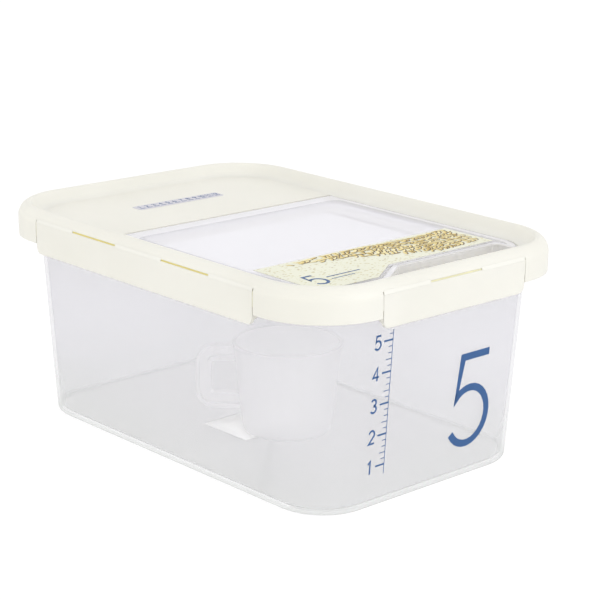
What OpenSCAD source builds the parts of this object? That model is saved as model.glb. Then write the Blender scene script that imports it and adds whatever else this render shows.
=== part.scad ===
// Rice bin: translucent tub, lid with four lock flaps, clear flip lid, measuring cup and silica gel sachet.
// X is the width, Y the length with the flip lid's front at -Y, and Z is up from the flat base.

/* [Overall] */
// Length over the closed lid
bin_length = 310; // [300:1:330]
// Width over the closed lid
bin_width = 216.6; // [212:0.2:232]
// Height of the rim's crest
bin_height = 140.3; // [130:0.1:170]

/* [Lid] */
// Radius of the lid's corners in plan
lid_corner_r = 46.2; // [40:0.1:50]
// Radius of the rounded shoulder between skirt and crest
shoulder_r = 8.6; // [7:0.1:9]
// Wall of the lid moulding
lid_wall = 2.2; // [1.8:0.1:2.4]
// Depth of the sunk panel below the crest
panel_drop = 7.8; // [7.4:0.1:8.4]
// Depth of the ledge below the panel
ledge_drop = 6; // [5.6:0.1:6.4]
// Height of the corner skirts below the crest
skirt_drop = 20.2; // [19.8:0.1:20.4]

/* [Lock flaps] */
// Length of the two long flaps
long_flap = 206; // [180:1:210]
// Length of the two short flaps
short_flap = 116; // [90:1:120]
// Height of the flaps below the crest
flap_drop = 26.7; // [25:0.1:30]
// Gap between a flap and the skirt beside it
flap_gap = 0.6; // [0.6:0.1:1.5]

/* [Tub] */
// Width of the tub at its base
tub_base_width = 175.6; // [170:0.2:180]
// Length of the tub at its base
tub_base_length = 274.2; // [260:0.2:278]
// Corner radius of the tub at its base
tub_base_r = 32.6; // [30:0.1:34]
// Draft of the tub's walls in degrees
tub_draft = 3.63; // [3:0.01:3.7]
// Wall of the tub
tub_wall = 2.2; // [1.8:0.1:2.4]

/* [Flip lid] */
// Rear edge of the window in the lid
window_rear = 48; // [40:1:60]
// Rear edge of the finger notch
notch_rear = -114; // [-118:1:-112]
// Thickness of the clear plate
flip_wall = 1.8; // [1.6:0.1:2]

/* [Measuring cup] */
// Outer radius of the cup's mouth
cup_mouth_r = 34.8; // [30:0.1:36]
// Outer radius of the cup's foot
cup_foot_r = 28.4; // [24:0.1:29]
// Height of the cup
cup_height = 58; // [50:0.5:64]

/* [Hidden] */
$fn = 96;
far = 400;
eps = 0.01;

// Corner arc centres in plan, of the lid and of the tub
lid_c = [bin_width / 2 - lid_corner_r, bin_length / 2 - lid_corner_r];
tub_c = [tub_base_width / 2 - tub_base_r, tub_base_length / 2 - tub_base_r];

// Heights of the lid
panel_z = bin_height - panel_drop;
ledge_z = panel_z - ledge_drop;
skirt_z = bin_height - skirt_drop;
flap_z = bin_height - flap_drop;
shoulder_z = bin_height - shoulder_r + 0.3;
hinge_z = bin_height - 5.7;

// Rim of the lid in section: crest, then the slope that runs out in a hollow of radius hollow_r to the panel
shoulder_turn = 72;
crest_inset = 7.3;
crest_r = 1.8;
crest_turn = 145;
panel_inset = 18;
hollow_run = 5.4;
hollow_rise = 2.4;
hollow_r = (pow(hollow_run, 2) + pow(hollow_rise, 2)) / (2 * hollow_rise);
hollow_turn = asin(hollow_run / hollow_r);

// Living hinge: film on the outer face, free height of the film, and its axis inside the outer face
film = 0.5;
film_below = 0.55;
film_above = 0.45;
shoulder_at_hinge = shoulder_r - sqrt(pow(shoulder_r, 2) - pow(hinge_z - shoulder_z, 2));
hinge_inset = shoulder_at_hinge + film / 2;
long_slots = [[-65, -22], [22, 65]];
short_slots = [[-21, 21]];

// Tub's rim: flange, its turned-down lip and the bead that meets the gasket
flange_z = 122;
flange_t = 2;
lip_inset = 3.5;
lip_t = 1.6;
lip_z = skirt_z + 0.5;
rim_z = panel_z - 5.45;
rim_edge_r = 1;
floor_z = 3;
foot_h = 0.8;
foot_w = 2;
foot_in = tub_base_r - 9;
base_fillet = 3.5;
floor_fillet = 2.6;

// Lock flaps: lower corners, the hook that snaps under the tub's lip, and the ribs behind the face
flap_corner_r = 5;
hook_reach = lip_inset + lip_t + 0.7;
hook_z = lip_z - 0.4;
hook_t = 1;
hook_h = 3.2;
rib_depth = 0.9;
rib_w = 1.2;
rib_z = 120;
rib_h = 12;
rib_bays = 5;

// Plug that enters the tub and channel for the gasket, as radii about the tub's corner centres
rim_r = tub_base_r + tan(tub_draft) * rim_z;
plug_out = rim_r - tub_wall - 0.95;
plug_in = plug_out - 1.8;
plug_z = panel_z - 10.5;
plug_h = 10;
channel_out = rim_r + 2.6;
channel_in = channel_out - 1.6;
channel_z = panel_z - 3.2;
channel_t = 2;
channel_foot = flange_z + flange_t + 0.6;
gasket_play = 0.1;
gasket_land = 1;
land_z = rim_z + 0.05;
gasket_side_z = rim_z + 0.4;

// Window recess, pour opening and sealing lip
pocket_r = lid_corner_r - panel_inset;
recess_out = plug_out - 0.5;
pour_half = 82;
pour_front = -107;
pour_rear = 37;
pour_r = 12;
seal_lip = 1.4;
seal_lip_h = 2.2;

// Flip lid: clearance in the recess, plate with a rounded edge and a turned-down wall, barrel and trunnions
flip_gap = 0.8;
flip_top = panel_z + 0.4;
flip_r = pocket_r - flip_gap;
flip_edge_r = 1.2;
flip_border = 6;
flip_edge_t = 1.6;
flip_edge_z = ledge_z + 0.5;
flip_half = lid_c[0] + flip_r;
barrel_r = 2.4;
axis_y = window_rear - barrel_r - 1;
axis_z = flip_top - barrel_r;
pin_r = 1.75;
pin_play = 0.07;
pin_len = 2.6;
socket_len = 3.2;
notch_left = -6;
notch_lean = 1.5;
notch_right = 78.5;
notch_r = 5;
gasket_out = 2.4;
gasket_in = 0.6;
gasket_z = ledge_z + seal_lip_h + 0.15;

// Raised field of the flip lid: border left round it, width of its sloped edge, rear end and rear corners
field_border = 5;
field_run = 2.4;
field_rise = 0.5;
field_rear = 34.6;
field_r = 8;
field_band = 6;
field_notch_margin = 2.4;
field_top = flip_top + field_rise;

// Printed film on the flip lid and printed strip on the panel
film_t = 0.2;
label_half = 79;
label_rear = -70;
label_front = -130;
label_margin = 11;
label_notch_margin = 4;
strip = [70, 10];
strip_r = 1.5;
strip_y = 97;

// Measuring cup: axis, foot height, wall, rolled rim and the handle's direction
cup_at = [-5, -17.5];
cup_z = 6.2;
cup_wall = 1.3;
cup_fillet = 4;
cup_rim = [1, 2];
cup_turn = 137;
handle_reach = 57.5;
handle_z = 14.5;
handle_h = 41;
handle_r = 12;
handle_bar = 9.6;
handle_w = 9;
handle_rim = 2.4;
handle_web = 2;

// Sachet on the floor
sachet = [62, 41, 2.6];
sachet_at = [-5, 7];
sachet_z = 3.3;

ivory = [0.96, 0.95, 0.9];
frosted = [0.9, 0.9, 0.93, 0.45];
clear = [0.92, 0.93, 0.97, 0.4];

// Points of an arc about c from angle a to angle b
function arc(c, r, a, b, n = 8) = [for (i = [0:n]) c + r * [cos(a + (b - a) * i / n), sin(a + (b - a) * i / n)]];

// Rounded rectangle with its corner arcs about (+-c.x, +-c.y)
module round_plan(c, r) {
    square([2 * c[0], 2 * (c[1] + r)], center = true);
    square([2 * (c[0] + r), 2 * c[1]], center = true);
    for (x = [-1, 1], y = [-1, 1])
        translate([x * c[0], y * c[1]]) circle(r);
}

// Carries a section, drawn as (radius, height), round the four sides and corners of a rounded rectangle
module sweep(c) {
    for (k = [0:3]) {
        side = k % 2 == 0 ? c : [c[1], c[0]];
        rotate([0, 0, 90 * k]) {
            translate([side[0], side[1], 0]) rotate([90, 0, 0]) linear_extrude(2 * side[1]) children();
            translate([side[0], side[1], 0]) rotate_extrude(angle = 90) children();
        }
    }
}

module slab(z0, z1) {
    translate([0, 0, z0]) linear_extrude(z1 - z0) children();
}

// Everything in plan in front of y
module in_front_of(y) {
    translate([-far / 2, y - far]) square(far);
}

// Tub: tapered wall, floor on a foot ring, rim bead and flange with a lip for the hooks
module tub_section() {
    draft = tan(tub_draft);
    top = rim_z - rim_edge_r;
    inner = tub_base_r - tub_wall + draft * (floor_z + floor_fillet) - floor_fillet;
    polygon(concat(
        [[foot_in - foot_w, floor_z], [foot_in - foot_w, foot_h], [foot_in, foot_h], [foot_in + foot_h, 0]],
        arc([tub_base_r + draft * base_fillet - base_fillet, base_fillet], base_fillet, -90, 0, 5),
        arc([rim_r - rim_edge_r, top], rim_edge_r, 0, 90, 3),
        arc([rim_r - tub_wall + rim_edge_r, top], rim_edge_r, 90, 180, 3),
        arc([inner, floor_z + floor_fillet], floor_fillet, 0, -90, 4)
    ));
}

module tub() {
    edge = lid_corner_r - lip_inset;
    inner_edge = edge - 4;
    top = flange_z + flange_t;
    color(frosted) {
        sweep(tub_c) tub_section();
        slab(foot_h, floor_z) round_plan(tub_c, foot_in - foot_w + eps);
        sweep(lid_c) polygon([[inner_edge, flange_z], [edge - lip_t, flange_z], [edge - lip_t, lip_z],
            [edge, lip_z], [edge, top], [inner_edge, top]]);
        slab(flange_z, top) difference() {
            round_plan(lid_c, inner_edge + 0.5);
            round_plan(tub_c, rim_r - tub_wall / 2);
        }
    }
}

// Outer shell of the lid: skirt, shoulder, crest, inner slope and the hollow that meets the panel
module shell_section() {
    r = lid_corner_r;
    shoulder = [r - shoulder_r, shoulder_z];
    crest = [r - crest_inset, bin_height - crest_r];
    hollow = [r - panel_inset, panel_z + hollow_r];
    polygon(concat(
        [[r - lid_wall, skirt_z], [r, skirt_z]],
        arc(shoulder, shoulder_r, 0, shoulder_turn, 9),
        arc(crest, crest_r, 85, crest_turn, 3),
        arc(hollow, hollow_r, 270 + hollow_turn, 270, 4),
        arc(hollow, hollow_r + lid_wall, 270, 270 + hollow_turn, 4),
        arc(shoulder, shoulder_r - lid_wall, shoulder_turn, 0, 6)
    ));
}

// The shell with a window in each side, up to the living hinge, for the lock flap there
module shell() {
    difference() {
        sweep(lid_c) shell_section();
        for (k = [0:3]) {
            half = (k % 2 == 0 ? long_flap : short_flap) / 2 + flap_gap;
            face = (k % 2 == 0 ? bin_width : bin_length) / 2;
            rotate([0, 0, 90 * k])
                translate([face - shoulder_r, -half, skirt_z - 1])
                cube([far, 2 * half, hinge_z + film_above - skirt_z + 1]);
        }
    }
}

module pocket_plan() {
    intersection() {
        round_plan(lid_c, pocket_r);
        in_front_of(window_rear);
    }
}

module pour_plan(grow = 0) {
    translate([0, (pour_front + pour_rear) / 2])
        round_plan([pour_half - pour_r, (pour_rear - pour_front) / 2 - pour_r], pour_r + grow);
}

// Panel with the window's recess, its ledge and the pour opening
module lid_deck() {
    difference() {
        union() {
            slab(panel_z - lid_wall, panel_z) round_plan(lid_c, pocket_r + eps);
            slab(ledge_z - lid_wall, panel_z) intersection() {
                round_plan(tub_c, recess_out);
                in_front_of(window_rear + lid_wall);
            }
        }
        slab(ledge_z, far) pocket_plan();
        slab(0, far) pour_plan();
    }
    slab(ledge_z - eps, ledge_z + seal_lip_h) difference() {
        pour_plan(seal_lip);
        pour_plan();
    }
}

module lid_frame() {
    color(ivory) difference() {
        union() {
            shell();
            lid_deck();
            sweep(tub_c) translate([plug_in, plug_z]) square([plug_out - plug_in, plug_h]);
            sweep(tub_c) translate([plug_in, channel_z]) square([channel_out - plug_in, channel_t]);
            sweep(tub_c) translate([channel_in, channel_foot])
                square([channel_out - channel_in, channel_z + 0.6 - channel_foot]);
        }
        // Sockets of the flip lid's trunnions
        translate([0, axis_y, axis_z]) rotate([0, 90, 0])
            cylinder(r = pin_r + pin_play, h = 2 * (flip_half + socket_len), center = true);
    }
}

// Silicone ring in the lid's channel, with a land that meets the tub's rim
module lid_gasket() {
    r0 = plug_out + gasket_play;
    r1 = channel_in - gasket_play;
    mid = (r0 + r1) / 2;
    color([0.93, 0.94, 0.94])
        sweep(tub_c) polygon([[r0, channel_z], [r0, gasket_side_z], [mid - gasket_land, land_z],
            [mid + gasket_land, land_z], [r1, gasket_side_z], [r1, channel_z]]);
}

// Lock flap, drawn with its outer face at x = 0 and its length along y, to be set against one side
module flap_section() {
    top = hinge_z - film_below;
    lead_in = 0.6;
    polygon(concat(
        [[-lid_wall, flap_z + lead_in], [-lead_in, flap_z], [0, flap_z + lead_in]],
        arc([-shoulder_r, shoulder_z], shoulder_r, 0, asin((top - shoulder_z) / shoulder_r), 3),
        [[-lid_wall, top]]
    ));
    polygon([[-lid_wall + eps, hook_z - hook_h], [-hook_reach, hook_z - hook_t], [-hook_reach, hook_z],
        [-lid_wall + eps, hook_z]]);
}

module flap_face(length) {
    r = flap_corner_r;
    translate([-length / 2, flap_z + r]) square([length, hinge_z - flap_z]);
    translate([r - length / 2, flap_z]) square([length - 2 * r, hinge_z - flap_z]);
    for (x = [-1, 1])
        translate([x * (length / 2 - r), flap_z + r]) circle(r);
}

module lock_flap(length, slots) {
    intersection() {
        translate([0, length / 2, 0]) rotate([90, 0, 0]) linear_extrude(length) flap_section();
        rotate([90, 0, 90]) linear_extrude(far, center = true) flap_face(length);
    }
    // Film with a bead on the axis, cut away at the slots
    difference() {
        translate([-hinge_inset, 0, hinge_z]) {
            translate([0, length / 2, 0]) rotate([90, 0, 0]) cylinder(r = film / 2, h = length);
            translate([-film / 2, -length / 2, -film_below - 0.2]) cube([film, length, film_below + 0.2]);
        }
        for (s = slots)
            translate([-hook_reach, s[0], hinge_z - film_below]) cube([far, s[1] - s[0], far]);
    }
    // Stiffening ribs behind the face
    for (i = [1:rib_bays - 1])
        translate([-lid_wall - rib_depth, (i / rib_bays - 0.5) * length - rib_w / 2, rib_z])
            cube([rib_depth + 0.1, rib_w, rib_h]);
}

module lock_flap_right() {
    color(ivory) translate([bin_width / 2, 0, 0]) lock_flap(long_flap, long_slots);
}

module lock_flap_left() {
    color(ivory) translate([-bin_width / 2, 0, 0]) rotate([0, 0, 180]) lock_flap(long_flap, long_slots);
}

module lock_flap_rear() {
    color(ivory) translate([0, bin_length / 2, 0]) rotate([0, 0, 90]) lock_flap(short_flap, short_slots);
}

module lock_flap_front() {
    color(ivory) translate([0, -bin_length / 2, 0]) rotate([0, 0, -90]) lock_flap(short_flap, short_slots);
}

// Finger notch in the flip lid's front edge, with a leaning left side and a rounded right corner
module notch_plan(grow = 0) {
    front = -bin_length / 2;
    rear = notch_rear + grow;
    left = notch_left - grow;
    right = notch_right + grow;
    polygon(concat(
        [[left - notch_lean * (rear - front), front], [left, rear]],
        arc([right - notch_r, rear - notch_r], notch_r, 90, 0, 5),
        [[right, front]]
    ));
}

// Border of the flip lid in section: rounded top edge and the wall turned down to the ledge
module flip_section() {
    under = flip_top - flip_wall;
    polygon(concat(
        [[flip_r - flip_border, under], [flip_r - flip_edge_t, under], [flip_r - flip_edge_t, flip_edge_z],
            [flip_r, flip_edge_z]],
        arc([flip_r - flip_edge_r, flip_top - flip_edge_r], flip_edge_r, 0, 90, 4),
        [[flip_r - flip_border, flip_top]]
    ));
}

// Edge of the raised field, sloped and drawn from the field's outline inwards
module field_section() {
    polygon([[-field_band, flip_top - field_rise], [field_run, flip_top - field_rise], [-field_run, field_top],
        [-field_band, field_top]]);
}

// Raised field: its front corners follow the flip lid's and its rear corners are tighter
module flip_field() {
    front_r = flip_r - field_border;
    half = flip_half - field_border;
    for (x = [-1, 1]) {
        translate([x * half, x > 0 ? field_rear - field_r : -lid_c[1], 0]) rotate([0, 0, x > 0 ? 0 : 180])
            rotate([90, 0, 0]) linear_extrude(field_rear - field_r + lid_c[1]) field_section();
        translate([x * lid_c[0], -lid_c[1], 0]) rotate([0, 0, x > 0 ? -90 : 180])
            rotate_extrude(angle = 90) translate([front_r, 0]) field_section();
        translate([x * (half - field_r), field_rear - field_r, 0]) rotate([0, 0, x > 0 ? 0 : 90])
            rotate_extrude(angle = 90) translate([field_r, 0]) field_section();
    }
    translate([lid_c[0], -lid_c[1] - front_r, 0]) rotate([90, 0, -90])
        linear_extrude(2 * lid_c[0]) field_section();
    translate([field_r - half, field_rear, 0]) rotate([90, 0, 90])
        linear_extrude(2 * (half - field_r)) field_section();
    slab(flip_top - field_rise, field_top) intersection() {
        round_plan(lid_c, front_r - field_band + eps);
        in_front_of(field_rear - field_band + eps);
    }
}

module flip_lid() {
    color(clear) {
        difference() {
            intersection() {
                union() {
                    sweep(lid_c) flip_section();
                    slab(flip_top - flip_wall, flip_top) round_plan(lid_c, flip_r - flip_border + eps);
                    slab(flip_edge_z, flip_top - eps) intersection() {
                        notch_plan(flip_edge_t);
                        round_plan(lid_c, flip_r - flip_edge_t / 2);
                    }
                    difference() {
                        flip_field();
                        slab(0, far) notch_plan(field_notch_margin);
                    }
                }
                slab(0, far) in_front_of(axis_y);
            }
            slab(0, far) notch_plan();
        }
        translate([0, axis_y, axis_z]) rotate([0, 90, 0]) {
            cylinder(r = barrel_r, h = 2 * flip_half, center = true);
            cylinder(r = pin_r, h = 2 * (flip_half + pin_len), center = true);
        }
    }
}

module flip_lid_gasket() {
    color([0.94, 0.94, 0.96])
        slab(gasket_z, flip_top - flip_wall) difference() {
            pour_plan(gasket_out);
            pour_plan(-gasket_in);
        }
}

module flip_lid_label() {
    color([0.93, 0.92, 0.8])
        slab(field_top, field_top + film_t) difference() {
            intersection() {
                round_plan(lid_c, pocket_r - label_margin);
                translate([-label_half, label_front]) square([2 * label_half, label_rear - label_front]);
            }
            notch_plan(label_notch_margin);
        }
}

module panel_strip() {
    color([0.8, 0.82, 0.85]) translate([0, strip_y, 0])
        slab(panel_z, panel_z + film_t) round_plan(strip / 2 - [strip_r, strip_r], strip_r);
}

// Measuring cup with a foot fillet, a rolled rim and an H-section handle
module cup_outline() {
    r = cup_fillet;
    polygon(concat(
        [[0, 0]],
        arc([cup_foot_r - r, r], r, -90, 0, 5),
        [[cup_mouth_r - cup_rim[0], cup_height - cup_rim[1]], [cup_mouth_r, cup_height - cup_rim[1]]],
        [[cup_mouth_r, cup_height], [0, cup_height]]
    ));
}

module cup_hollow() {
    r = cup_fillet - cup_wall;
    polygon(concat(
        [[0, cup_wall]],
        arc([cup_foot_r - cup_fillet, cup_fillet], r, -90, 0, 5),
        [[cup_mouth_r - cup_rim[0] - cup_wall, cup_height + 1], [0, cup_height + 1]]
    ));
}

module handle_outline(inset) {
    r = handle_r - inset;
    h = handle_h - 2 * inset;
    translate([0, inset]) {
        square([handle_reach - handle_r, h]);
        translate([0, r]) square([handle_reach - inset, h - 2 * r]);
        for (y = [r, h - r])
            translate([handle_reach - inset - r, y]) circle(r);
    }
}

module handle_band(outer, inner) {
    difference() {
        handle_outline(outer);
        handle_outline(inner);
    }
}

module measuring_cup() {
    color(clear) translate([cup_at[0], cup_at[1], cup_z]) difference() {
        union() {
            rotate_extrude() cup_outline();
            rotate([90, 0, cup_turn]) translate([0, handle_z, 0]) difference() {
                union() {
                    linear_extrude(handle_web, center = true) handle_outline(0);
                    linear_extrude(handle_w, center = true) {
                        handle_band(0, handle_rim);
                        handle_band(handle_bar - handle_rim, handle_bar);
                    }
                }
                linear_extrude(far, center = true) handle_outline(handle_bar);
            }
        }
        rotate_extrude() cup_hollow();
    }
}

module silica_gel_sachet() {
    color([0.95, 0.95, 0.93]) translate([sachet_at[0], sachet_at[1], 0])
        slab(sachet_z, sachet_z + sachet[2]) square([sachet[0], sachet[1]], center = true);
}

tub();
lid_frame();
lid_gasket();
lock_flap_left();
lock_flap_right();
lock_flap_front();
lock_flap_rear();
flip_lid();
flip_lid_gasket();
flip_lid_label();
panel_strip();
measuring_cup();
silica_gel_sachet();
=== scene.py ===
import math
import random

import bmesh
import bpy
from mathutils import Matrix, Vector, noise

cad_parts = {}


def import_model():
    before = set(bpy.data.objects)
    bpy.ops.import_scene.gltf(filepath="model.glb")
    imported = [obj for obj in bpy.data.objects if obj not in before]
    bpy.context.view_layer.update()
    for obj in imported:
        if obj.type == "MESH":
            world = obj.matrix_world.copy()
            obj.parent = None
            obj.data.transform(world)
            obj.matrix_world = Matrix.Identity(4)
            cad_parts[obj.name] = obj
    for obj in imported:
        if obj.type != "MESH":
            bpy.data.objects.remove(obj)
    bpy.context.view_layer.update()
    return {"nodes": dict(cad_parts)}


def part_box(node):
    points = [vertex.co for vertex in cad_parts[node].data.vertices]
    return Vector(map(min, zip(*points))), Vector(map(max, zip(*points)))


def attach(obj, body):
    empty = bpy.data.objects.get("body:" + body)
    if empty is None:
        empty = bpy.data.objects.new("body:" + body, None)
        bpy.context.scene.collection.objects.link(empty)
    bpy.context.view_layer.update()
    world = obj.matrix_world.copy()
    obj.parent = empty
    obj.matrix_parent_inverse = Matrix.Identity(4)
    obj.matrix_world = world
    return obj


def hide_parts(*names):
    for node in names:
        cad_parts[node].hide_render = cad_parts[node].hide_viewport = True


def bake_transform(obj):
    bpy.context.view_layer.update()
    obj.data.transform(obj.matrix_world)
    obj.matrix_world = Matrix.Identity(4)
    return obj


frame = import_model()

MM = 0.001
PLASTIC_IOR = 1.49

# Dimensions of the bin that its solids have too

# Outer faces of the lid, its rounded shoulder, and the axis of the living hinges
HALF_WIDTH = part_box("lid_frame")[1].x
HALF_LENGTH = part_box("lid_frame")[1].y
SHOULDER_R = 8.6 * MM
SHOULDER_Z = 132.0 * MM
HINGE_Z = 134.6 * MM

# Heights above and below the hinge axis, at which each hinge film works out a point
GAP_ABOVE = 0.45 * MM
GAP_BELOW = 0.55 * MM

# Flaps: half of the length, and the slots along the hinge
LONG_FLAP_HALF = 103 * MM
SHORT_FLAP_HALF = 58 * MM
LONG_SLOTS = ((-65 * MM, -22 * MM), (22 * MM, 65 * MM))
SHORT_SLOTS = ((-21 * MM, 21 * MM),)

# Front wall of the tub: its distance from the middle at the base, and its draft
TUB_BASE_FRONT = 137.1 * MM
TUB_DRAFT = math.tan(math.radians(3.63))

# Ledge round the flip lid, painted paler as painted light in its shade: its reach to the side and lengthways,
# and the heights between which this painted light fades
LEDGE_HALF = 92 * MM
LEDGE_REACH = 138 * MM
LEDGE_LOW, LEDGE_HIGH = 126.8 * MM, 131 * MM

# Heights that bound the low border of the flip lid, the tub's floor and its foot
BORDER_LOW, BORDER_HIGH = 132.2 * MM, 132.95 * MM
UNDER_FLOOR = 20 * MM
FOOT_LOW, FOOT_HIGH = 2.6 * MM, 4.6 * MM


# Materials

class Shader:
    """A node material that is built from its surface shader backwards."""

    def __init__(self, name):
        self.material = bpy.data.materials.new(name)
        self.material.use_nodes = True
        self.tree = self.material.node_tree
        self.tree.nodes.clear()
        self.output = self.tree.nodes.new("ShaderNodeOutputMaterial")

    def add(self, kind, inputs=None, **settings):
        node = self.tree.nodes.new("ShaderNode" + kind)
        for key, value in settings.items():
            setattr(node, key, value)
        for key, value in (inputs or {}).items():
            socket = node.inputs[key]
            if isinstance(value, bpy.types.NodeSocket):
                self.tree.links.new(value, socket)
            else:
                socket.default_value = value
        return node

    def place(self):
        return self.add("TexCoord").outputs["Object"]

    def noise(self, scale, detail=2.0, vector=None):
        inputs = {"Vector": vector or self.place(), "Scale": scale, "Detail": detail}
        return self.add("TexNoise", inputs).outputs["Fac"]

    def spread(self, value, low, high, start=0.0, end=1.0):
        """Value from start to end, spread out from low to high."""
        inputs = {"Value": value, "From Min": start, "From Max": end, "To Min": low, "To Max": high}
        return self.add("MapRange", inputs).outputs["Result"]

    def math(self, operation, a, b=0.0):
        return self.add("Math", {0: a, 1: b}, operation=operation).outputs[0]

    def blend_colours(self, factor, first, second):
        mix = self.add("Mix", data_type="RGBA")
        for socket, value in zip((mix.inputs[0], mix.inputs[6], mix.inputs[7]), (factor, first, second)):
            if isinstance(value, bpy.types.NodeSocket):
                self.tree.links.new(value, socket)
            else:
                socket.default_value = value
        return mix.outputs[2]

    def upright(self):
        """1 where the surface is level, 0 where it is upright."""
        normal = self.add("NewGeometry").outputs["Normal"]
        return self.math("ABSOLUTE", self.add("SeparateXYZ", {0: normal}).outputs[2])

    def bump(self, height, distance, strength=1.0, normal=None):
        inputs = {"Height": height, "Distance": distance, "Strength": strength}
        if normal is not None:
            inputs["Normal"] = normal
        return self.add("Bump", inputs).outputs["Normal"]

    def soft_edges(self, radius):
        return self.add("Bevel", {"Radius": radius}, samples=4).outputs["Normal"]

    def mix(self, factor, first, second):
        return self.add("MixShader", {0: factor, 1: first, 2: second}).outputs[0]

    def done(self, surface):
        self.tree.links.new(surface, self.output.inputs["Surface"])
        return self.material


def ivory_plastic(name, through):
    """Ivory plastic whose recessed ledge is painted paler, as painted light in its shade, where through is
    the share of the light that passes its wall.
    """
    s = Shader(name)
    place = s.place()
    tone = s.spread(s.noise(18, 3, place), 0.0, 1.0, 0.35, 0.65)
    colour = s.blend_colours(tone, (0.85, 0.843, 0.79, 1), (0.875, 0.869, 0.822, 1))
    ends = s.add("SeparateXYZ", {0: place}).outputs
    # Painted light: the recessed ledge round the flip lid gets a paler colour that fades out upwards, for
    # light its shade lacks
    ledge_painted_light_zone = s.math("MULTIPLY", s.math("LESS_THAN", s.math("ABSOLUTE", ends[0]), LEDGE_HALF),
                    s.math("LESS_THAN", s.math("ABSOLUTE", ends[1]), LEDGE_REACH))
    low = s.math("MULTIPLY", ledge_painted_light_zone, s.spread(ends[2], 1.0, 0.0, LEDGE_LOW, LEDGE_HIGH))
    colour = s.blend_colours(low, colour, (0.965, 0.962, 0.935, 1))
    grain = s.bump(s.noise(1400, 3), 0.02 * MM, 0.35, s.soft_edges(0.5 * MM))
    surface = s.add("BsdfPrincipled", {
        "Base Color": colour,
        "Roughness": s.spread(s.noise(70, 4), 0.3, 0.42),
        "IOR": PLASTIC_IOR,
        "Normal": grain,
    }).outputs[0]
    glow = s.add("BsdfTranslucent", {"Color": (0.97, 0.93, 0.79, 1), "Normal": grain}).outputs[0]
    return s.done(s.mix(through, surface, glow))


def milky_plastic(name, tint, first, second, haze, edge, rough, base=None, base_tint=None):
    """Plastic that scatters part of the light, in a colour between first and second.

    haze is the share of this milk seen square on, edge at a glance. The rest is clear and has the tint.
    base and base_tint are given for the tub: they are its milk and tint near the bottom. Its floor is painted
    paler, as painted light, and its foot is milkier with a grey tint, as painted shade along the base.
    """
    s = Shader(name)
    place = s.place()
    flow = s.add("Mapping", {"Vector": place, "Scale": (1, 1, 0.25)}).outputs[0]
    cloud = s.spread(s.noise(16, 4, flow), 0.0, 1.0, 0.3, 0.7)
    colour = s.blend_colours(cloud, first, second)
    if base:
        height = s.add("SeparateXYZ", {0: place}).outputs[2]
        on_floor = s.math("MULTIPLY", s.spread(s.upright(), 0.0, 1.0, 0.94, 0.99),
                          s.math("LESS_THAN", height, UNDER_FLOOR))
        fade = {"Value": height, "From Min": 4 * MM, "From Max": 60 * MM, "To Min": 1.0, "To Max": 0.0}
        lower = s.add("MapRange", fade, interpolation_type="SMOOTHSTEP").outputs["Result"]
        colour = s.blend_colours(lower, colour, base)
        # Painted light: the floor of the tub is painted paler, and further on clearer, for light its shade
        # lacks
        colour = s.blend_colours(on_floor, colour, (0.97, 0.97, 0.975, 1))
        # Painted shade: the foot is given more milk and a grey tint further on, for the soft shadow along the
        # base
        foot = s.math("MULTIPLY", s.spread(height, 1.0, 0.0, FOOT_LOW, FOOT_HIGH),
                      s.math("SUBTRACT", 1.0, on_floor))
    grain = s.bump(s.noise(900, 2), 0.02 * MM, 0.05, s.soft_edges(0.5 * MM))
    milk = s.add("BsdfPrincipled", {
        "Base Color": colour,
        "Roughness": s.spread(s.noise(60, 4), rough - 0.06, rough + 0.06),
        "IOR": PLASTIC_IOR,
        "Normal": grain,
    }).outputs[0]
    glow = s.add("BsdfTranslucent", {"Color": colour, "Normal": grain}).outputs[0]
    body = s.mix(0.55, milk, glow)
    facing = s.add("LayerWeight", {"Blend": 0.3}).outputs["Facing"]
    share = s.spread(facing, haze, edge)
    if base:
        for zone, more in ((lower, 0.07), (on_floor, 0.16), (foot, 0.2)):
            share = s.math("ADD", share, s.math("MULTIPLY", zone, more))
        tint = s.blend_colours(s.spread(height, 0.0, 1.0, 15 * MM, 85 * MM), base_tint, tint)
        # Painted light on the floor and painted shade at the foot
        tint = s.blend_colours(on_floor, tint, (0.998, 0.998, 0.998, 1))
        tint = s.blend_colours(foot, tint, (0.9, 0.905, 0.9, 1))
    clear = s.add("BsdfTransparent", {"Color": tint}).outputs[0]
    return s.done(s.mix(share, clear, body))


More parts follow.
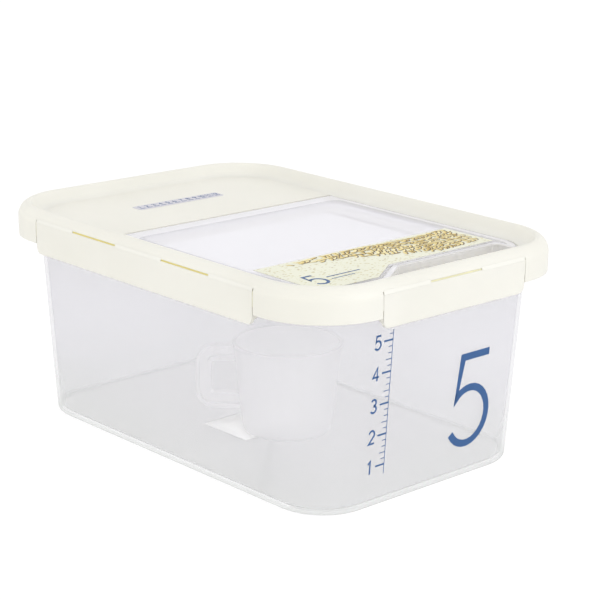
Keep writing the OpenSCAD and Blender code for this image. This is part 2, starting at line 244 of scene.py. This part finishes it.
def clear_plastic(name, tint, flat, haze, edge):
    """Clear plastic whose level faces have a haze in the flat colour.

    Its walls and border are hazier, and its slightly sloped edges are painted greyer, as a painted dark
    reflection.
    """
    s = Shader(name)
    upright = s.upright()
    height = s.add("SeparateXYZ", {0: s.place()}).outputs[2]
    border = s.math("MULTIPLY", s.math("GREATER_THAN", height, BORDER_LOW),
                    s.math("LESS_THAN", height, BORDER_HIGH))
    flatness = s.spread(upright, 0.0, 1.0, 0.2, 0.8)
    sloped = s.math("MULTIPLY", flatness, s.spread(upright, 1.0, 0.0, 0.985, 0.998))
    clear = s.add("BsdfTransparent", {"Color": tint}).outputs[0]
    smooth = s.soft_edges(0.4 * MM)
    colour = s.blend_colours(flatness, (0.965, 0.957, 0.945, 1), flat)
    # Painted reflection: slightly sloped faces get a grey colour and more of it, for the dark band reflected
    # along the border
    colour = s.blend_colours(sloped, colour, (0.7, 0.69, 0.74, 1))
    gloss = s.add("BsdfPrincipled", {
        "Base Color": colour,
        "Roughness": s.spread(s.noise(40, 3), 0.06, 0.12),
        "IOR": 1.5,
        "Normal": smooth,
    }).outputs[0]
    glow = s.add("BsdfTranslucent", {"Color": colour, "Normal": smooth}).outputs[0]
    facing = s.add("LayerWeight", {"Blend": 0.5, "Normal": smooth}).outputs["Facing"]
    sheen = s.spread(s.math("POWER", facing, 5.0), haze, 1.0)
    share = s.math("MAXIMUM", sheen, s.spread(flatness, edge, haze))
    for zone, more in ((sloped, 0.26), (border, 0.3)):
        share = s.math("ADD", share, s.math("MULTIPLY", zone, more))
    return s.done(s.mix(share, clear, s.mix(0.15, gloss, glow)))


def silicone():
    s = Shader("pale_silicone")
    grain = s.bump(s.noise(700, 2), 0.03 * MM, 0.4)
    surface = s.add("BsdfPrincipled", {
        "Base Color": s.blend_colours(s.noise(60), (0.9, 0.9, 0.91, 1), (0.94, 0.94, 0.95, 1)),
        "Roughness": 0.5,
        "Normal": grain,
    })
    return s.done(surface.outputs[0])


def label_film():
    """Cream film with short flecks in olive and straw."""
    s = Shader("cream_printed_film")
    place = s.place()
    warp = s.add("Mapping", {"Vector": place, "Scale": (1, 1.9, 1), "Rotation": (0, 0, 0.5)}).outputs[0]
    colour = s.blend_colours(s.noise(40, 3, place), (0.7, 0.7, 0.555, 1), (0.76, 0.76, 0.63, 1))
    flecks = (
        (240, 0.17, (0.5, 0.43, 0.17, 1)),
        (330, 0.13, (0.58, 0.57, 0.3, 1)),
        (170, 0.1, (0.36, 0.27, 0.12, 1)),
    )
    for scale, size, ink in flecks:
        cells = s.add("TexVoronoi", {"Vector": warp, "Scale": scale}).outputs["Distance"]
        colour = s.blend_colours(s.spread(cells, 0.85, 0.0, size, size + 0.1), colour, ink)
    surface = s.add("BsdfPrincipled", {
        "Base Color": colour,
        "Roughness": s.spread(s.noise(90, 2, place), 0.3, 0.4),
        "Normal": s.bump(s.noise(500, 2, place), 0.01 * MM),
    })
    return s.done(surface.outputs[0])


def plain_print(name, first, second, scale=260):
    """Ink or film in a colour that varies a little, as print does, with little gloss."""
    s = Shader(name)
    place = s.place()
    surface = s.add("BsdfPrincipled", {
        "Base Color": s.blend_colours(s.noise(scale, 3, place), first, second),
        "Roughness": s.spread(s.noise(90, 2, place), 0.34, 0.46),
        "Specular IOR Level": 0.2,
        "Normal": s.bump(s.noise(900, 2, place), 0.01 * MM),
    })
    return s.done(surface.outputs[0])


def sachet_paper():
    s = Shader("sachet_paper")
    fibres = s.add("Mapping", {"Vector": s.place(), "Scale": (1, 3.5, 1), "Rotation": (0, 0, 0.9)}).outputs[0]
    weave = s.noise(900, 4, fibres)
    surface = s.add("BsdfPrincipled", {
        "Base Color": s.blend_colours(weave, (0.9, 0.9, 0.885, 1), (0.97, 0.97, 0.965, 1)),
        "Roughness": 0.75,
        "Normal": s.bump(weave, 0.06 * MM, 0.6),
    })
    return s.done(surface.outputs[0])


def thin_film(name, first, second):
    """Plastic so thin that light passes it, for the windows in the hinges, and for the fins of the flaps,
    whose pale colour is painted light in the gaps at the flap ends.
    """
    s = Shader(name)
    colour = s.blend_colours(s.noise(200), first, second)
    skin = s.add("BsdfPrincipled", {"Base Color": colour, "Roughness": 0.4}).outputs[0]
    glow = s.add("BsdfTranslucent", {"Color": colour}).outputs[0]
    return s.done(s.mix(0.4, skin, glow))


IVORY = ivory_plastic("ivory_polypropylene", 0.2)
IVORY_FILM = ivory_plastic("ivory_hinge_film", 0.16)
FROSTED = milky_plastic("frosted_polypropylene", (0.986, 0.984, 0.992, 1),
                        (0.83, 0.825, 0.86, 1), (0.86, 0.856, 0.888, 1), haze=0.16, edge=0.27, rough=0.4,
                        base=(0.84, 0.85, 0.845, 1), base_tint=(0.968, 0.967, 0.971, 1))
CLEAR_LID = clear_plastic("clear_lid_plastic", (0.985, 0.982, 0.99, 1), (0.93, 0.922, 0.96, 1),
                          haze=0.34, edge=0.4)
CLEAR_CUP = milky_plastic("clear_cup_plastic", (0.998, 0.998, 0.998, 1),
                          (0.985, 0.985, 0.988, 1), (0.995, 0.995, 0.996, 1), haze=0.3, edge=0.5, rough=0.14)
SILICONE = silicone()
LABEL = label_film()
STRIP = plain_print("pale_strip", (0.56, 0.55, 0.61, 1), (0.62, 0.61, 0.66, 1))
NAVY = plain_print("navy_ink", (0.03, 0.09, 0.235, 1), (0.045, 0.115, 0.28, 1))
PAPER = sachet_paper()
YELLOW_FILM = thin_film("long_slot_film", (0.93, 0.84, 0.32, 1), (0.96, 0.88, 0.4, 1))
PALE_FILM = thin_film("short_slot_film", (0.97, 0.945, 0.66, 1), (0.985, 0.965, 0.73, 1))
# Painted light: the pale fins fill the gaps at the ends of the flaps, for the light seen through these gaps
YELLOW_GAP_LIGHT_FIN = thin_film("long_flap_gap_light_fin", (0.97, 0.95, 0.74, 1), (0.985, 0.965, 0.8, 1))
IVORY_GAP_LIGHT_FIN = thin_film("short_flap_gap_light_fin", (0.975, 0.965, 0.9, 1), (0.985, 0.975, 0.92, 1))

# From the dark edge of a grain to its pale streak
GRAIN_INKS = [
    plain_print("husk_shadow_ink", (0.06, 0.035, 0.015, 1), (0.2, 0.13, 0.05, 1), 420),
    plain_print("gold_ink", (0.4, 0.27, 0.05, 1), (0.58, 0.42, 0.1, 1), 420),
    plain_print("straw_ink", (0.62, 0.47, 0.13, 1), (0.78, 0.62, 0.24, 1), 420),
    plain_print("pale_husk_ink", (0.84, 0.73, 0.36, 1), (0.9, 0.8, 0.46, 1), 420),
]

# Finish of each solid. The sachet's solid is replaced by a pillow further on
FINISHES = {
    "tub": FROSTED,
    "lid_frame": IVORY,
    "lid_gasket": SILICONE,
    "lock_flap_left": IVORY,
    "lock_flap_right": IVORY,
    "lock_flap_front": IVORY,
    "lock_flap_rear": IVORY,
    "flip_lid": CLEAR_LID,
    "flip_lid_gasket": SILICONE,
    "flip_lid_label": LABEL,
    "panel_strip": STRIP,
    "measuring_cup": CLEAR_CUP,
}
for name, finish in FINISHES.items():
    slots = frame["nodes"][name].data.materials
    for index in range(max(1, len(slots))):
        if index < len(slots):
            slots[index] = finish
        else:
            slots.append(finish)


# Mesh helpers

def piece(name, points, faces, materials, body, smooth=False, face_slots=None):
    """A mesh piece that rides a body, or none where body is None."""
    mesh = bpy.data.meshes.new(name)
    mesh.from_pydata([tuple(p) for p in points], [], faces)
    mesh.validate()
    obj = bpy.data.objects.new(name, mesh)
    bpy.context.collection.objects.link(obj)
    for material in materials:
        mesh.materials.append(material)
    for index, polygon in enumerate(mesh.polygons):
        polygon.use_smooth = smooth
        if face_slots:
            polygon.material_index = face_slots[index]
    if body:
        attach(obj, body)
    return obj


def tidy_normals(obj):
    """Turns the faces of a closed mesh outwards."""
    shape = bmesh.new()
    shape.from_mesh(obj.data)
    bmesh.ops.recalc_face_normals(shape, faces=shape.faces)
    shape.to_mesh(obj.data)
    shape.free()


# Living hinges: a film over each hinged stretch, a thin window in each slot, and a pale fin at both ends of
# each flap, painted light in the gap there

RIBBON_ROWS = 12
RIBBON_STEP = 6 * MM
SHARP_FROM = math.radians(40)

# Heights over the hinge axis, and depths under the face of the shoulder
FILM_HEIGHTS = (-1.4 * MM, 1.3 * MM)
FILM_DEPTHS = (-0.05 * MM, 0.4 * MM)
WINDOW_HEIGHTS = (-0.75 * MM, 0.6 * MM)
WINDOW_DEPTHS = (0.35 * MM, 0.6 * MM)

# Fins: depths under the face, the ends of their height, and how far they reach past the end of the flap
FIN_DEPTHS = (0.12 * MM, 1.2 * MM)
FIN_BOTTOM = SHOULDER_Z - 7.5 * MM
FIN_TOP = HINGE_Z - 0.9 * MM
FIN_ENDS = (-0.05 * MM, 0.5 * MM)
FIN_STEPS = 6


def shoulder_point(angle, radius, along, half, turn):
    """Point on the rounded shoulder of one side, whose outward direction is turned by turn from +X."""
    out = half - SHOULDER_R + radius * math.cos(angle)
    return Matrix.Rotation(turn, 3, "Z") @ Vector((out, along, SHOULDER_Z + radius * math.sin(angle)))


def shoulder_angle(z):
    return math.asin((z - SHOULDER_Z) / SHOULDER_R)


def shoulder_ribbon(name, side, start, end, heights, depths, material):
    """Film along one side from start to end, which follows the shoulder across the hinge axis."""
    body, half, turn = side
    rows = RIBBON_ROWS
    columns = max(2, int((end - start) / RIBBON_STEP))
    first, last = (shoulder_angle(HINGE_Z + height) for height in heights)
    points = []
    faces = []
    for depth in depths:
        for row in range(rows + 1):
            angle = first + (last - first) * row / rows
            for column in range(columns + 1):
                along = start + (end - start) * column / columns
                points.append(shoulder_point(angle, SHOULDER_R - depth, along, half, turn))
    wide = columns + 1
    layer = wide * (rows + 1)
    for row in range(rows):
        for column in range(columns):
            a = row * wide + column
            faces.append((a, a + 1, a + wide + 1, a + wide))
            faces.append((layer + a, layer + a + wide, layer + a + wide + 1, layer + a + 1))
    for row in range(rows):
        for a in (row * wide, row * wide + columns):
            faces.append((a, a + wide, layer + a + wide, layer + a))
    for column in range(columns):
        for a in (column, rows * wide + column):
            faces.append((a, a + 1, layer + a + 1, layer + a))
    obj = piece(name, points, faces, [material], None, smooth=True)
    tidy_normals(obj)
    obj.data.set_sharp_from_angle(angle=SHARP_FROM)
    above = shoulder_point(shoulder_angle(HINGE_Z), SHOULDER_R, 0, half, turn)
    below = above.copy()
    above.z = HINGE_Z + GAP_ABOVE
    below.z = HINGE_Z - GAP_BELOW
    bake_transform(obj)


def gap_light_fins(name, side, flap_half, material):
    """Thin pale fin on both ends of a flap, from above its rounded corner up to the film: painted light, for
    the light seen through the gap at the flap's end.
    """
    body, half, turn = side
    outer, inner = FIN_DEPTHS
    outline = [(half - outer, FIN_BOTTOM)]
    for step in range(FIN_STEPS + 1):
        angle = shoulder_angle(FIN_TOP) * step / FIN_STEPS
        spot = shoulder_point(angle, SHOULDER_R - outer, 0, half, 0)
        outline.append((spot.x, spot.z))
    outline.append((half - inner, outline[-1][1]))
    outline.append((half - inner, outline[0][1]))
    count = len(outline)
    around = Matrix.Rotation(turn, 3, "Z")
    points = []
    faces = []
    for end in (-1, 1):
        base = len(points)
        for past in FIN_ENDS:
            points += [around @ Vector((out, end * (flap_half + past), z)) for out, z in outline]
        for a in range(count):
            b = (a + 1) % count
            faces.append((base + a, base + b, base + count + b, base + count + a))
        faces.append(tuple(base + a for a in range(count)))
        faces.append(tuple(base + count + a for a in range(count)))
    obj = piece(name, points, faces, [material], body)
    tidy_normals(obj)


# For each side its body, outer face and direction, then the flap's half length, slots, window and fin
SIDES = {
    "left": (("flap_left", HALF_WIDTH, math.pi), LONG_FLAP_HALF, LONG_SLOTS, YELLOW_FILM, YELLOW_GAP_LIGHT_FIN),
    "right": (("flap_right", HALF_WIDTH, 0), LONG_FLAP_HALF, LONG_SLOTS, YELLOW_FILM, YELLOW_GAP_LIGHT_FIN),
    "front": (("flap_front", HALF_LENGTH, -math.pi / 2), SHORT_FLAP_HALF, SHORT_SLOTS, PALE_FILM, IVORY_GAP_LIGHT_FIN),
    "rear": (("flap_rear", HALF_LENGTH, math.pi / 2), SHORT_FLAP_HALF, SHORT_SLOTS, PALE_FILM, IVORY_GAP_LIGHT_FIN),
}
for side_name, (side, flap_half, slots, film, fin) in SIDES.items():
    edges = [-flap_half] + [edge for slot in slots for edge in slot] + [flap_half]
    for number, (start, end) in enumerate(zip(edges[::2], edges[1::2]), 1):
        shoulder_ribbon(f"hinge_film_{side_name}_{number}", side, start, end,
                        FILM_HEIGHTS, FILM_DEPTHS, IVORY_FILM)
    for number, (start, end) in enumerate(slots, 1):
        shoulder_ribbon(f"slot_window_{side_name}_{number}", side, start, end,
                        WINDOW_HEIGHTS, WINDOW_DEPTHS, film)
    gap_light_fins(f"gap_light_fins_{side_name}", side, flap_half, fin)


# Plain digits, drawn as strokes in a box 0.6 wide and 1 high, and the step from one to the next
DIGIT_STEP = 0.66


def bow(x, y, rx, ry, start, end, steps=14):
    """Arc of an ellipse about x, y between two angles in degrees."""
    angles = [math.radians(start + (end - start) * i / steps) for i in range(steps + 1)]
    return [(x + rx * math.cos(a), y + ry * math.sin(a)) for a in angles]


DIGITS = {
    "0": [bow(0.3, 0.5, 0.28, 0.5, 90, 450, 28)],
    "1": [[(0.12, 0.8), (0.34, 1.0), (0.34, 0.0)]],
    "2": [bow(0.3, 0.71, 0.26, 0.29, 165, -30) + [(0.04, 0.0), (0.58, 0.0)]],
    "3": [bow(0.28, 0.76, 0.23, 0.24, 155, -90) + bow(0.28, 0.26, 0.27, 0.26, 90, -155)],
    "4": [[(0.42, 0.0), (0.42, 1.0), (0.02, 0.3), (0.6, 0.3)]],
    "5": [[(0.54, 1.0), (0.14, 1.0), (0.08, 0.54)] + bow(0.28, 0.32, 0.29, 0.32, 128, -148, 22)],
    "6": [bow(0.48, 0.42, 0.44, 0.58, 110, 180, 8) + bow(0.3, 0.29, 0.26, 0.29, 180, -180, 22)],
    "7": [[(0.04, 1.0), (0.56, 1.0), (0.2, 0.0)]],
    "8": [bow(0.3, 0.76, 0.22, 0.24, -90, 270, 20), bow(0.3, 0.26, 0.27, 0.26, 90, 450, 20)],
    "9": [bow(0.12, 0.58, 0.44, 0.58, -70, 0, 8) + bow(0.3, 0.71, 0.26, 0.29, 0, 360, 22)],
}


def stroke(path, width):
    """Outline quads of a line of even width along a path of plane points."""
    points = [Vector(p) for p in path]
    closed = (points[0] - points[-1]).length < 1e-6
    sides = []
    for i, point in enumerate(points):
        before = points[i] - points[i - 1] if i else None
        after = points[i + 1] - point if i + 1 < len(points) else None
        if closed and before is None:
            before = points[-1] - points[-2]
        if closed and after is None:
            after = points[1] - points[0]
        before = (before or after).normalized()
        after = (after or before).normalized()
        bisector = (before + after).normalized()
        normal = Vector((-bisector.y, bisector.x))
        reach = width / 2 / max(0.45, normal.dot(Vector((-before.y, before.x))))
        sides.append((point + normal * reach, point - normal * reach))
    return sides


class Print:
    """Flat print that is gathered in a plane and then laid on a surface."""

    def __init__(self, lay):
        self.lay = lay
        self.points = []
        self.faces = []
        self.slots = []

    def polygon(self, corners, slot=0, lift=0.0):
        base = len(self.points)
        self.points += [self.lay(x, y, lift) for x, y in corners]
        self.faces.append(tuple(range(base, base + len(corners))))
        self.slots.append(slot)

    def line(self, path, width, slot=0):
        sides = stroke(path, width)
        base = len(self.points)
        for left, right in sides:
            self.points += [self.lay(left.x, left.y, 0.0), self.lay(right.x, right.y, 0.0)]
        for i in range(len(sides) - 1):
            a = base + 2 * i
            self.faces.append((a, a + 1, a + 3, a + 2))
            self.slots.append(slot)

    def digit(self, figure, x, y, height, width):
        """One digit with its lower left corner at x, y, in strokes of the given width."""
        for path in DIGITS[figure]:
            self.line([(x + u * height, y + v * height) for u, v in path], width)

    def number(self, text, x, y, height, width):
        for index, figure in enumerate(text):
            self.digit(figure, x + index * DIGIT_STEP * height, y, height, width)

    def build(self, name, materials, body):
        obj = piece(name, self.points, self.faces, materials, body, face_slots=self.slots)
        tidy = bmesh.new()
        tidy.from_mesh(obj.data)
        bmesh.ops.remove_doubles(tidy, verts=tidy.verts, dist=1e-7)
        tidy.to_mesh(obj.data)
        tidy.free()
        return obj


# Front of the tub: a large plain 5 and a fill scale from 1 to 5
WALL_PRINT_LIFT = 0.12 * MM
SCALE_X = -39 * MM
SCALE_LOW, SCALE_HIGH = 20 * MM, 108 * MM
FIRST_LEVEL = 26
LEVEL_STEP = 19
TICK_STEP = 3.8 * MM
THIN_LINE = 0.5 * MM


def on_front_wall(x, z, lift):
    return Vector((x, -(TUB_BASE_FRONT + TUB_DRAFT * z + WALL_PRINT_LIFT + lift), z))


front = Print(on_front_wall)
front.digit("5", 14 * MM, 22 * MM, 56 * MM, 4.6 * MM)
front.line([(SCALE_X, SCALE_LOW), (SCALE_X, SCALE_HIGH)], THIN_LINE)
for level in range(5):
    height = (FIRST_LEVEL + LEVEL_STEP * level) * MM
    front.line([(SCALE_X - 7 * MM, height), (SCALE_X, height)], 1.1 * MM)
    front.digit(str(level + 1), SCALE_X - 14 * MM, height - 4 * MM, 8 * MM, 1.2 * MM)
    for part in range(1, 5):
        tick = height + part * TICK_STEP
        length = (4.6 if part == 2 else 3) * MM
        if tick < SCALE_HIGH:
            front.line([(SCALE_X - length, tick), (SCALE_X, tick)], THIN_LINE)
front.build("front_fill_scale", [NAVY], "bin")


# Printed strip on the panel: a row of plain numbers, as on a dial, each over a short line
STRIP_PRINT_LIFT = 0.05 * MM
STRIP_COUNT = 12
STRIP_STEP = 5.7
STRIP_DIGIT = 3.4
strip_low, strip_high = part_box("panel_strip")
strip_mid = (strip_low + strip_high) / 2


def on_strip(x, y, lift):
    return Vector((strip_mid.x + x, strip_mid.y + y, strip_high.z + STRIP_PRINT_LIFT + lift))


dial = Print(on_strip)
for place in range(STRIP_COUNT):
    spot = (place - (STRIP_COUNT - 1) / 2) * STRIP_STEP * MM
    text = str(place + 1)
    wide = (0.58 + DIGIT_STEP * (len(text) - 1)) * STRIP_DIGIT * MM
    dial.number(text, spot - wide / 2, -0.3 * MM, STRIP_DIGIT * MM, 0.75 * MM)
    dial.line([(spot - 2.1 * MM, -2.3 * MM), (spot + 2.1 * MM, -2.3 * MM)], 0.9 * MM)
dial.build("strip_numbers", [NAVY], "bin")


# Print on the label: grains in curved rows along the rear edge, and a plain 5 with two rule lines
LABEL_PRINT_LIFT = 0.04 * MM
GRAIN_ROWS = 12
FIRST_ROW, ROW_STEP = 2.2, 2.75
ROW_GRAINS = 42
ROW_START, ROW_LENGTH = 6, 136
ROW_LOSS = 0.062
GRAIN_LAYERS = 9
LAYER_LIFT = 0.004 * MM
EDGE_SHIFT = 0.42 * MM
label_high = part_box("flip_lid_label")[1]


def on_label(x, y, lift):
    return Vector((x, y, label_high.z + LABEL_PRINT_LIFT + lift))


def grain_outline(x, y, length, width, turn, steps=7):
    """Pointed oval about x, y."""
    angles = [math.pi * i / steps for i in range(steps + 1)]
    upper = [(-math.cos(angle), math.sin(angle) ** 1.3) for angle in angles]
    lower = [(u, -v) for u, v in reversed(upper[1:-1])]
    cos, sin = math.cos(turn), math.sin(turn)
    shape = []
    for u, v in upper + lower:
        u *= length / 2
        v *= width / 2
        shape.append((x + u * cos - v * sin, y + u * sin + v * cos))
    return shape


def grain(x, y, length, turn, lift, tone):
    """One grain: a dark edge on its near side, a husk, and a pale streak along it."""
    fat = length * draw.uniform(0.3, 0.38)
    dark = grain_outline(x + EDGE_SHIFT, y - EDGE_SHIFT, length * 1.06, fat * 1.3, turn)
    grains.polygon(dark, 0, lift)
    grains.polygon(grain_outline(x, y, length, fat, turn), tone, lift + 0.002 * MM)
    aside_x, aside_y = -0.2 * fat * math.sin(turn), 0.2 * fat * math.cos(turn)
    streak = grain_outline(x + aside_x, y + aside_y, length * 0.66, fat * 0.3, turn)
    grains.polygon(streak, min(len(GRAIN_INKS) - 1, tone + 1), lift + 0.003 * MM)


# Each row is shorter than the one before, and more grains are missing towards its far end
grains = Print(on_label)
draw = random.Random(23)
for row in range(GRAIN_ROWS):
    reach = 1.0 - ROW_LOSS * row
    for step in range(int(ROW_GRAINS * reach)):
        share = (step + 0.5 * (row % 2)) / ROW_GRAINS
        if draw.random() < 0.04 + 0.42 * share ** 3:
            continue
        x = label_high.x - (ROW_START + ROW_LENGTH * share + draw.uniform(-0.9, 0.9)) * MM
        wave = 1.9 * math.sin(share * 7) + 2 * share
        y = label_high.y - (FIRST_ROW + ROW_STEP * row + wave + draw.uniform(-0.6, 0.6)) * MM
        lean = 0.7 if row % 2 else -0.4
        turn = 0.5 * math.cos(share * 9 + 0.3 * row) + draw.uniform(-0.35, 0.35) + lean
        lift = (row * ROW_GRAINS + step) % GRAIN_LAYERS * LAYER_LIFT
        grain(x, y, draw.uniform(4.4, 6.2) * MM, turn, lift, draw.choice((1, 2, 2, 3)))
grains.build("label_grain_print", GRAIN_INKS, "flip")

numeral = Print(on_label)
numeral.digit("5", -71 * MM, -117 * MM, 17 * MM, 2 * MM)
numeral.line([(-57 * MM, -107.5 * MM), (-31 * MM, -107.5 * MM)], 1.2 * MM)
numeral.line([(-57 * MM, -112 * MM), (-39 * MM, -112 * MM)], 0.9 * MM)
numeral.build("label_number", [NAVY], "flip")


# Sachet: a paper pillow with crimped seals, laid on the floor of the tub

SEAL = 4.5 * MM
SWELL = 9 * MM
PAPER_HALF = 0.09 * MM
UPPER_RISE = 1.15 * MM
LOWER_RISE = 0.75 * MM
MID_DROP = 0.35 * MM
LUMP = 0.3 * MM
CREASE = 0.22 * MM
CRIMP = 0.12 * MM


def sachet():
    low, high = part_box("silica_gel_sachet")
    width, length = high.x - low.x, high.y - low.y
    columns, rows = 62, 42
    mid = (low.z + high.z) / 2 - MID_DROP
    points = []
    for side in (1, -1):
        for j in range(rows + 1):
            for i in range(columns + 1):
                u, v = i / columns, j / rows
                x, y = low.x + u * width, low.y + v * length
                edge = min(u * width, (1 - u) * width, v * length, (1 - v) * length)
                fill = min(1.0, max(0.0, (edge - SEAL) / SWELL))
                fill = fill * fill * (3 - 2 * fill)
                z = mid + CRIMP * math.sin((u * width + v * length) / MM * 3.2) * (edge < SEAL)
                if side > 0:
                    creased = 1 - abs(2 * fill - 1)
                    z += PAPER_HALF + UPPER_RISE * fill ** 0.7
                    z += LUMP * noise.noise(Vector((x, y, side)) * 260) * fill
                    z += CREASE * noise.noise(Vector((x * 90, y * 320, 3 * side))) * creased
                else:
                    z -= PAPER_HALF + LOWER_RISE * fill ** 0.7
                points.append((x, y, z))
    wide = columns + 1
    layer = wide * (rows + 1)
    faces = []
    for j in range(rows):
        for i in range(columns):
            a = j * wide + i
            faces.append((a, a + 1, a + wide + 1, a + wide))
            faces.append((layer + a, layer + a + wide, layer + a + wide + 1, layer + a + 1))
    border = list(range(wide))
    border += [j * wide + columns for j in range(1, rows + 1)]
    border += [rows * wide + i for i in range(columns - 1, -1, -1)]
    border += [j * wide for j in range(rows - 1, 0, -1)]
    for a, b in zip(border, border[1:] + border[:1]):
        faces.append((a, layer + a, layer + b, b))
    obj = piece("silica_gel_pillow", points, faces, [PAPER], "sachet", smooth=True)
    tidy_normals(obj)
    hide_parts("silica_gel_sachet")


sachet()


# Floor, world, lamps and camera

SIDE_LIGHT = 1.34
TOP_LIGHT = 1.0
FLOOR_HALF = 30.0


def floor():
    """White floor that takes the shadow and throws back the light that a plain pale floor would."""
    s = Shader("white_floor")
    path = s.add("LightPath").outputs
    matt = s.add("BsdfDiffuse", {"Color": (0.13, 0.13, 0.13, 1)}).outputs[0]
    lit = s.add("Emission", {"Color": (1, 1, 1, 1), "Strength": 0.91}).outputs[0]
    shown = s.add("AddShader", {0: matt, 1: lit}).outputs[0]
    plain = s.add("BsdfDiffuse", {"Color": (0.9, 0.9, 0.9, 1)}).outputs[0]
    white = s.add("Emission", {"Color": (1, 1, 1, 1), "Strength": 0.95}).outputs[0]
    seen = s.mix(s.math("MAXIMUM", path["Is Glossy Ray"], path["Is Transmission Ray"]), plain, white)
    material = s.done(s.mix(path["Is Camera Ray"], seen, shown))
    corners = [(x * FLOOR_HALF, y * FLOOR_HALF, 0) for x, y in ((-1, -1), (1, -1), (1, 1), (-1, 1))]
    obj = piece("floor", corners, [(0, 1, 2, 3)], [material], None)


def world():
    """White studio light, a little stronger from the sides than from above."""
    back = bpy.data.worlds.new("white_world")
    back.use_nodes = True
    tree = back.node_tree
    tree.nodes.clear()

    def add(kind, inputs, **settings):
        node = tree.nodes.new("ShaderNode" + kind)
        for key, value in settings.items():
            setattr(node, key, value)
        for key, value in inputs.items():
            if isinstance(value, bpy.types.NodeSocket):
                tree.links.new(value, node.inputs[key])
            else:
                node.inputs[key].default_value = value
        return node.outputs

    path = add("LightPath", {})
    straight = add("Math", {0: path["Is Camera Ray"], 1: path["Is Glossy Ray"]}, operation="MAXIMUM")[0]
    straight = add("Math", {0: straight, 1: path["Is Transmission Ray"]}, operation="MAXIMUM")[0]
    height = add("SeparateXYZ", {0: add("TexCoord", {})["Generated"]})[2]
    level = add("MapRange", {"Value": height, "To Min": SIDE_LIGHT, "To Max": TOP_LIGHT})[0]
    soft = add("Background", {"Color": (1, 1, 1, 1), "Strength": level})[0]
    white = add("Background", {"Color": (1, 1, 1, 1), "Strength": 1.0})[0]
    shown = add("MixShader", {0: straight, 1: soft, 2: white})[0]
    add("OutputWorld", {"Surface": shown})
    bpy.context.scene.world = back


def lamp(name, place, target, size, power, colour=(1, 1, 1), only=()):
    """Round soft lamp. Where only names objects, it lights these alone, as light scattered into the bin."""
    light = bpy.data.lights.new(name, "AREA")
    light.color = colour
    light.shape = "DISK"
    light.size = size
    light.energy = power
    obj = bpy.data.objects.new(name, light)
    bpy.context.collection.objects.link(obj)
    obj.location = place
    obj.rotation_euler = (Vector(target) - Vector(place)).to_track_quat("-Z", "Y").to_euler()
    if only:
        lit = bpy.data.collections.new(name + "_lit")
        for item in only:
            lit.objects.link(bpy.data.objects[item])
        obj.light_linking.receiver_collection = lit
        obj.light_linking.blocker_collection = lit


# Camera, as fitted to the straight edges in the photo: place, direction, lens and shift
CAMERA_PLACE = (-0.7358, -0.8321, 0.4044)
CAMERA_TURN, CAMERA_TILT, CAMERA_ROLL = -0.766, 0.295, 0.019
CAMERA_LENS = 109.74
CAMERA_SHIFT = (-0.0813, 0.0499)


def camera():
    turn, tilt, roll = CAMERA_TURN, CAMERA_TILT, CAMERA_ROLL
    forward = Vector((-math.sin(turn) * math.cos(tilt), math.cos(turn) * math.cos(tilt), -math.sin(tilt)))
    right = forward.cross(Vector((0, 0, 1))).normalized()
    up = right.cross(forward)
    across = right * math.cos(roll) + up * math.sin(roll)
    rise = up * math.cos(roll) - right * math.sin(roll)
    data = bpy.data.cameras.new("camera")
    data.sensor_width = 36
    data.lens = CAMERA_LENS
    data.shift_x, data.shift_y = CAMERA_SHIFT
    data.clip_start = 0.01
    obj = bpy.data.objects.new("camera", data)
    bpy.context.collection.objects.link(obj)
    spot = Matrix((across, rise, -forward)).transposed().to_4x4()
    spot.translation = Vector(CAMERA_PLACE)
    obj.matrix_world = spot
    bpy.context.scene.camera = obj


floor()
world()
lamp("key", (0.5, -1.7, 0.7), (0, 0, 0.08), size=1.2, power=5.5)
lamp("fill", (-1.7, -0.3, 0.6), (0, 0, 0.08), size=1.4, power=3, colour=(1, 0.96, 0.82))
lamp("inner_fill", (-0.6, -0.7, 0.9), (0, 0, 0.03), size=0.8, power=7.5,
     only=(frame["nodes"]["measuring_cup"].name, "silica_gel_pillow"))
camera()

# The clear walls, lid and cup lie behind one another: a ray passes more layers than Cycles allows by default
light_paths = bpy.context.scene.cycles
light_paths.transparent_max_bounces = 28
light_paths.diffuse_bounces = 6
bpy.context.scene.view_settings.view_transform = "Standard"
